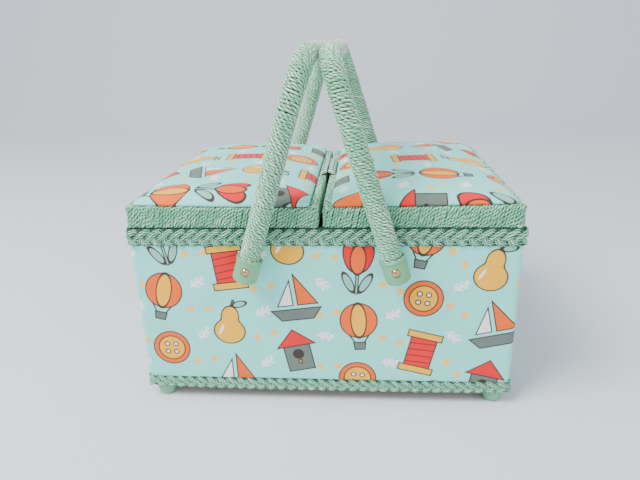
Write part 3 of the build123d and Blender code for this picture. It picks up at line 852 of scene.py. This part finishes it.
# Painted shade: a dark green sheet behind each plait, so that the holes between its strands look dark.
tape = speckled("braid_tape", "234F3F", "16382C", "2F6651", 0.8, 900.0)
for node, half_height, turns, steps, flip in (("rim_braid", 0.0043, 37, 42, 1),
                                              ("base_braid", 0.0030, 40, 38, -1)):
    low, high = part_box(node)
    stops, _ = stops_round(cover_high[0], cover_high[1], cover_corner, line_stops)
    slack = base_slack if node == "base_braid" else 0.0
    places = []
    for (x, y), _ in stops:
        sag = slack * (1 - (x / cover_high[0]) ** 4 * (y / cover_high[1]) ** 4)
        places.append((x, y, (low[2] + high[2]) / 2 - sag))
    plaited = host_line(node.replace("braid", "plait"), places)
    cord_radius = (high[2] - low[2] - 2 * half_height) / cords_high
    grown(plaited, plait, {
        **plait_round, "Turns": turns, "Steps": steps, "Height": half_height,
        "Depth": plait_round["Depth"] * flip, "Lean": plait_round["Lean"] * flip,
        "Cord Gap": cord_radius * cord_apart, "Cord Radius": cord_radius, "Material": braid_cord})
    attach(plaited, "basket")
    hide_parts(node)

    foot, top, wrap = low[2] + shade_tape_foot, high[2] - base_below, -shade_tape_behind
    if node == "rim_braid":
        top, wrap = rim_top + rim_cap, -rim_wrap
    section = [(-shade_tape_behind, foot), (shade_tape_thick, foot), (shade_tape_thick, top), (wrap, top),
               (wrap, top - shade_tape_behind), (-shade_tape_behind, top - shade_tape_behind)]
    points = [(x + out_x * shift, y + out_y * shift, z)
              for (x, y), (out_x, out_y) in stops for shift, z in section]
    faces = []
    for here in range(line_stops):
        after = (here + 1) % line_stops
        faces += [(6 * here + k, 6 * after + k, 6 * after + (k + 1) % 6, 6 * here + (k + 1) % 6)
                  for k in range(6)]
    shade_backing = piece(node.replace("braid", "tape"), points, faces, tape, smooth=False)
    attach(shade_backing, "basket")

# ---- hinges ----
# Two brass butt hinges hold each lid at the end of the box. Each has a leaf screwed to the
# wall and a leaf screwed under the lid, with a pin through the knuckles of both.

brass = metal("worn_brass", "D9B872", "9C7A3E", 0.32)
for node in ["box_hinge_leaves", "hinge_pins", "box_hinge_screws"]:
    smoothed(node, brass, 35)

# ---- lids: frames, panels and wound edges ----
# Each lid is a frame and a panel of board dyed like the twine, so that nothing shines through
# between the turns. Twisted twine, dyed darker than on the handles as painted shade, is wound
# round the frame; every turn leans a little.

twine_radius = 0.0012
twine_waist = 0.7
edge_inset = 0.00135          # of the outer strands' middle
edge_middle_z = 0.14645
edge_half_across = 0.00245
edge_half_up = 0.00725
edge_turns = 330
edge_lay = 0.0074
edge_slant = 0.0012
host_steps = 90.0             # of a host line, for each turn round it
turn_wander = 0.9             # how much the turns' places change from one to the next
girth_wander = 0.31           # and how much their girths do
girth_least = 0.973
girth_more = 0.05
lid_corner = 0.003
drop_at_gap = 0.0022          # how far the front edge's top hangs at the free corners
drop_starts = 0.086           # how far from the middle, front to back
drop_within = 0.010
drop_reach = 0.135            # from the gap to where nothing hangs


def winding_tree():
    """A twine wound round a host line: its turns are squared ovals across the line."""
    tree, given, wanted = growing_tree("twine_winding", "Inward", "Half Across", "Half Up", "Squareness",
                                       "Slant", "Cord Radius", "Waist", "Lay", "Unevenness", "Seed",
                                       Upright="Vector")
    line = take(tree, "GeometryNodeMeshToCurve", given["Geometry"])
    even = evenly(tree, line, given["Turns"] * host_steps)
    along = take(tree, "GeometryNodeSplineParameter")
    angle = along * (given["Turns"] * (2 * pi))
    swings = [angle.into(swing) for swing in ("COSINE", "SINE")]
    out, rise = [abs(swing).into("POWER", given["Squareness"]) * swing.into("SIGN") for swing in swings]
    tangent = take(tree, "GeometryNodeInputTangent")
    outward = tangent.into("CROSS_PRODUCT", given["Upright"]).into("NORMALIZE")
    turn_number = along * given["Turns"] + given["Seed"]
    stray = (unsteady(tree, turn_number * turn_wander) - 0.5) * given["Unevenness"]
    bulge = unsteady(tree, turn_number * girth_wander + 40.0) * girth_more + girth_least
    across = (out * bulge - given["Inward"]) * given["Half Across"]
    up = rise * given["Half Up"] * bulge
    moved = outward * across + given["Upright"] * up + tangent * (rise * given["Slant"] + stray)
    wound = take(tree, "GeometryNodeSetPosition", Geometry=even, Offset=moved)
    cord_skin(tree, evenly(tree, wound, given["Turns"] * given["Steps"]), given, 8, wanted)
    return tree


def halves(node):
    """The middle along X of a node's solid, and half of its length and depth."""
    low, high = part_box(node)
    return (low[0] + high[0]) / 2, (high[0] - low[0]) / 2, (high[1] - low[1]) / 2


def dropped(x, y):
    """How far the top of a lid's edge has given way, most at the free corners."""
    to_hinge = min(1.0, abs(x) / drop_reach)
    to_front = min(1.0, max(0.0, (abs(y) - drop_starts) / drop_within))
    return drop_at_gap * (1 - to_hinge ** 2) * to_front


both_sides = (("left", -1), ("right", 1))
winding = winding_tree()
dyed_board = speckled("dyed_board", "4F8068", "2A5443", "4E8069", 0.75, 300.0, 4.0)
# Painted shade: the lids' edge twine is the handles' twine in darker dyes, for the shade on its upright
# faces.
shaded_edge_twine = cord_finish("shaded_edge_twine", "D8F6E4", "5FB68A", "184F39", 1100.0, 0.32)
for side, way in both_sides:
    for node in ("frame", "panel"):
        dressed(f"{side}_lid_{node}", dyed_board)
    for node in ("hinge_leaves", "hinge_screws"):
        smoothed(f"{side}_lid_{node}", brass, 35)
    low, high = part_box(f"{side}_lid_edge_winding")
    middle_x, half_x, half_y = halves(f"{side}_lid_edge_winding")
    stops, _ = stops_round(half_x - edge_inset, half_y - edge_inset, lid_corner - edge_inset, line_stops,
                           middle_x=middle_x)
    edge = host_line(f"{side}_lid_twine", [(x, y, edge_middle_z) for (x, y), _ in stops])
    grown(edge, winding, {
        "Turns": edge_turns, "Steps": 37, "Upright": (0.0, 0.0, 1.0), "Inward": 1.0,
        "Half Across": edge_half_across, "Half Up": edge_half_up, "Squareness": 0.22,
        "Slant": edge_slant, "Cord Radius": twine_radius, "Waist": twine_waist, "Lay": edge_lay,
        "Unevenness": 0.0011, "Seed": 3.0 + 40.0 * way, "Material": shaded_edge_twine})
    for point in edge.data.vertices:
        up = (point.co.z - low[2]) / (high[2] - low[2])
        point.co.z -= dropped(point.co.x, point.co.y) * up
    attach(edge, f"{side}_lid")
    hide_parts(f"{side}_lid_edge_winding")

# ---- lid cushions ----
# Each lid is padded under the same cotton. The cloth starts on a low pillow, is held along its
# edge, and is blown up a little by the wadding, worked out with a cloth simulation. A padded
# card covered with satin closes the lid below.

cushion_step = 0.0042
cushion_start = 0.87          # of the crown, before the wadding pushes
cushion_cap = 0.0046
cushion_frames = 18
cotton_behaves = {"quality": 6, "mass": 0.15, "tension_stiffness": 18.0, "compression_stiffness": 12.0,
                  "shear_stiffness": 6.0, "bending_stiffness": 0.4, "use_pressure": True,
                  "uniform_pressure_force": 4.0}
cushion_corner = 0.0035
cushion_seam = 0.0004         # how deep the cloth is tucked in
cushion_rise = 0.0016         # how steeply it leaves the seam
cushion_to_edge = 0.0020      # at the front and the back
cushion_to_hinge = 0.0050
cushion_to_gap = 0.0058
lid_satin_corner = 0.001
lid_satin_edge = 0.0009
lid_satin_step = 0.004


def puffed(shown, seam_z, frames, cap):
    """Lets the wadding push the cloth out, held below the seam, and keeps the result."""
    held = shown.vertex_groups.new(name="held")
    start = [point.co.copy() for point in shown.data.vertices]
    held.add([i for i, at in enumerate(start) if at.z <= seam_z], 1.0, "REPLACE")
    cloth = shown.modifiers.new("wadding", "CLOTH")
    for name, value in cotton_behaves.items():
        setattr(cloth.settings, name, value)
    cloth.settings.vertex_group_mass = "held"
    cloth.settings.effector_weights.gravity = 0.0
    cloth.point_cache.frame_end = frames
    for frame_number in range(1, frames + 1):
        bpy.context.scene.frame_set(frame_number)
    made_plain(shown)
    bpy.context.scene.frame_set(1)
    for point, at in zip(shown.data.vertices, start):
        push = point.co - at
        if push.length > cap:
            point.co = at + push * (cap / push.length)


for side, way in both_sides:
    low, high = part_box(f"{side}_lid_cushion")
    lid_low, lid_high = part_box(f"{side}_lid_edge_winding")
    far_x = (lid_high[0] if way > 0 else lid_low[0]) - way * cushion_to_hinge
    near_x = (lid_low[0] if way > 0 else lid_high[0]) + way * cushion_to_gap
    crown_z = low[2] + (high[2] - low[2]) * cushion_start
    cushion = pillow(f"{side}_cushion", abs(far_x - near_x) / 2, lid_high[1] - cushion_to_edge,
                     cushion_corner, low[2] - cushion_seam, low[2] + cushion_rise, crown_z, cushion_step,
                     cotton, middle_x=(far_x + near_x) / 2, ripple=0.0010, fullness=(2.8, 8))
    for spot in cushion.data.uv_layers["cloth"].data:
        spot.uv = (way * spot.uv.y + 0.031, 0.02 - way * spot.uv.x)
    for point in cushion.data.vertices:
        below = min(1.0, max(0.0, (crown_z - point.co.z) / (crown_z - low[2])))
        point.co.z -= dropped(point.co.x, point.co.y) * below ** 3
    puffed(cushion, low[2], cushion_frames, cushion_cap)
    rounder = cushion.modifiers.new("rounder", "SUBSURF")
    rounder.levels = rounder.render_levels = 1
    made_plain(cushion)
    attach(cushion, f"{side}_lid")
    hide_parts(f"{side}_lid_cushion")

    low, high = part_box(f"{side}_lid_lining")
    middle_x, half_x, half_y = halves(f"{side}_lid_lining")
    under = pillow(f"{side}_lid_satin", half_x, half_y, lid_satin_corner, -high[2],
                   -high[2] + lid_satin_edge, -low[2], lid_satin_step, satin,
                   middle_x=middle_x, ripple=0.0004)
    for point in under.data.vertices:
        point.co.z = -point.co.z
    under.data.flip_normals()
    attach(under, f"{side}_lid")
    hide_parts(f"{side}_lid_lining")

# ---- pull tabs ----
# A folded strip of the cotton, its pale back outside, comes out of each cushion's seam and
# stands over the gap, with a row of dark stitches along the seam.

tab_layers = 0.0005
tab_rows = 30
tab_cut_step = 0.0009         # of cloth from one line of points to the next
tab_wave = 0.00022
tab_flutter = 0.00012
tab_hem = 0.0008
tab_stitches = 11
tab_stitch = 0.0024
stitch_radius = 0.0003
stitch_slant = 0.0004
stitch_share = 0.66           # of the way from the free edge to the seam
stitch_proud = 0.0001         # over the cloth

tab_low, tab_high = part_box("left_lid_pull_tab")
cotton_back, back_tree, back_shader = finish_named("cotton_back", dye("DCEBE4"), 0.85, Sheen_Weight=0.2)
on_back = cloth_place(back_tree)
faded = blend(back_tree, speckle(back_tree, on_back, 90.0), dye("86B09C"), dye("B4D2C4"))
from_middle = abs(on_back.parts()[1] - (tab_low[1] + tab_high[1]) / 2)
hem = from_middle.into("GREATER_THAN", (tab_high[1] - tab_low[1]) / 2 - tab_hem)
feed(back_shader, Base_Color=blend(back_tree, hem, faded, dye("FAF8F6")),
     Normal=bumped(back_tree, woven(back_tree, on_back, 0.0003), 0.3, 0.0001))
stitch_thread = speckled("stitch_thread", "4A3F3A", "332A27", "66584F", 0.6, 2500.0)


def capsule(start, end, radius, sides=6):
    """Points and faces of a short closed stitch between two places."""
    axis = (end - start).normalized()
    across = axis.cross(Vector((0, 0, 1))).normalized()
    up = across.cross(axis)
    stations = [(start, 0.55), (start.lerp(end, 0.25), 1.0), (start.lerp(end, 0.75), 1.0), (end, 0.55)]
    points = [centre + radius * size * (cos(2 * pi * k / sides) * across + sin(2 * pi * k / sides) * up)
              for centre, size in stations for k in range(sides)]
    faces = [(r * sides + k, r * sides + (k + 1) % sides, (r + 1) * sides + (k + 1) % sides,
              (r + 1) * sides + k) for r in range(3) for k in range(sides)]
    return points, faces + [tuple(range(sides))[::-1], tuple(range(3 * sides, 4 * sides))]


for side, way in both_sides:
    low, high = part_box(f"{side}_lid_pull_tab")
    seam_x, free_x = (high[0], low[0]) if way > 0 else (low[0], high[0])
    foot, top = low[2] + tab_layers / 2, high[2] - tab_layers / 2
    section = [(1.0, foot), (0.72, low[2] + 0.0012), (0.42, low[2] + 0.0019), (0.16, low[2] + 0.0022),
               (0.05, low[2] + 0.0027), (0.10, top), (0.3, top), (0.55, top - 0.0004),
               (0.8, top - 0.0011), (1.0, low[2] + 0.0014)]
    points, spots = [], []
    for row in range(tab_rows + 1):
        y = low[1] + (high[1] - low[1]) * row / tab_rows
        wave = tab_wave * noise.noise((y * 70, 9 * way, 0)) + tab_flutter * sin(row * 2.1)
        for number, (share, z) in enumerate(section, 1):
            x = free_x + (seam_x - free_x) * share - way * wave * (1 - share)
            points.append((x, y, z + wave * (1 - share)))
            spots.append((number * tab_cut_step, y))
    faces = grid_faces(tab_rows, len(section) - 1)
    if way > 0:
        faces = [face[::-1] for face in faces]
    tab = piece(f"{side}_pull_tab", points, faces, cotton_back)
    lay_map(tab, spots)
    thickened(tab, tab_layers)
    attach(tab, f"{side}_lid")
    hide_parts(f"{side}_lid_pull_tab")

    points, faces = [], []
    x, z = free_x + (seam_x - free_x) * stitch_share, top + stitch_proud
    for number in range(tab_stitches):
        y = low[1] + (high[1] - low[1]) * (number + 0.5) / tab_stitches
        start = Vector((x, y - tab_stitch / 2, z))
        end = start + Vector((way * stitch_slant, tab_stitch, 0.0))
        stitch_points, stitch_faces = capsule(start, end, stitch_radius)
        faces += [tuple(i + len(points) for i in face) for face in stitch_faces]
        points += stitch_points
    stitches = piece(f"{side}_tab_stitches", points, faces, stitch_thread)
    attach(stitches, f"{side}_lid")

# ---- handles ----
# Each handle is a bent core with the same twine wound round it from ferrule to ferrule, its
# colours brighter as painted light. The arch leans inwards until it meets the other.

pivot_x = 0.050
pivot_z = 0.1133
arch_height = 0.1428
arch_corner = 0.037
arch_steps = 24
leg_y = 0.1078
winding_start = 0.0068
handle_radius = 0.0073
handle_turns = 228
handle_lay = 0.0068
handles_apart = 0.0003
handle_lean = asin((pivot_x - handle_radius - handles_apart / 2) / arch_height)
handle_proud = 0.0001         # how far the twine stands over the solid's outline
wound_radius = handle_radius - twine_radius + handle_proud

# Painted light: the handles' twine is the lid edges' twine in brighter dyes with a whiter painted highlight,
# for the light on its upper faces.
lit_handle_twine = cord_finish("lit_handle_twine", "FCFFFC", "7CCB9C", "1A583E", 1100.0, 0.24)
arch = [(-leg_y, winding_start)]
for number in range(arch_steps + 1):
    angle = pi / 2 * number / arch_steps
    arch.append((-leg_y + arch_corner * (1 - cos(angle)), arch_height - arch_corner * (1 - sin(angle))))
arch += [(-y, z) for y, z in reversed(arch)]
for side, way in both_sides:
    smoothed(f"{side}_handle_core", dyed_board, 40)
    places = [(way * (pivot_x - sin(handle_lean) * up), y, pivot_z + cos(handle_lean) * up) for y, up in arch]
    handle = host_line(f"{side}_lit_handle_twine", places, closed=False)
    grown(handle, winding, {
        "Turns": handle_turns, "Steps": 45, "Upright": (cos(handle_lean), 0.0, way * sin(handle_lean)),
        "Inward": 0.0, "Half Across": wound_radius, "Half Up": wound_radius, "Squareness": 1.0,
        "Slant": 0.0, "Cord Radius": twine_radius, "Waist": twine_waist, "Lay": handle_lay,
        "Unevenness": 0.0007, "Seed": 300.0 + 60.0 * way, "Material": lit_handle_twine})
    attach(handle, f"{side}_handle")
    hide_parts(f"{side}_handle_winding")

# ---- ferrules, rivets and washers ----
# Moulded cups hold the ends of the twine. A rose-gold rivet goes through each cup, a plastic
# spacer and the wall, and is peened over a steel washer inside the box.

ferrule_plastic = plastic("ferrule_plastic", "78BA88", "64A478", Subsurface_Weight=0.08,
                          Subsurface_Scale=0.003)
rose_gold = metal("rose_gold", "E2B488", "B4845C", 0.24)
for side in ("left", "right"):
    for end in ("front", "back"):
        smoothed(f"{side}_handle_{end}_ferrule", ferrule_plastic, 35)
smoothed("handle_rivets", rose_gold, 50)
smoothed("spacer_washers", ferrule_plastic, 40)
smoothed("inner_washers", steel, 40)
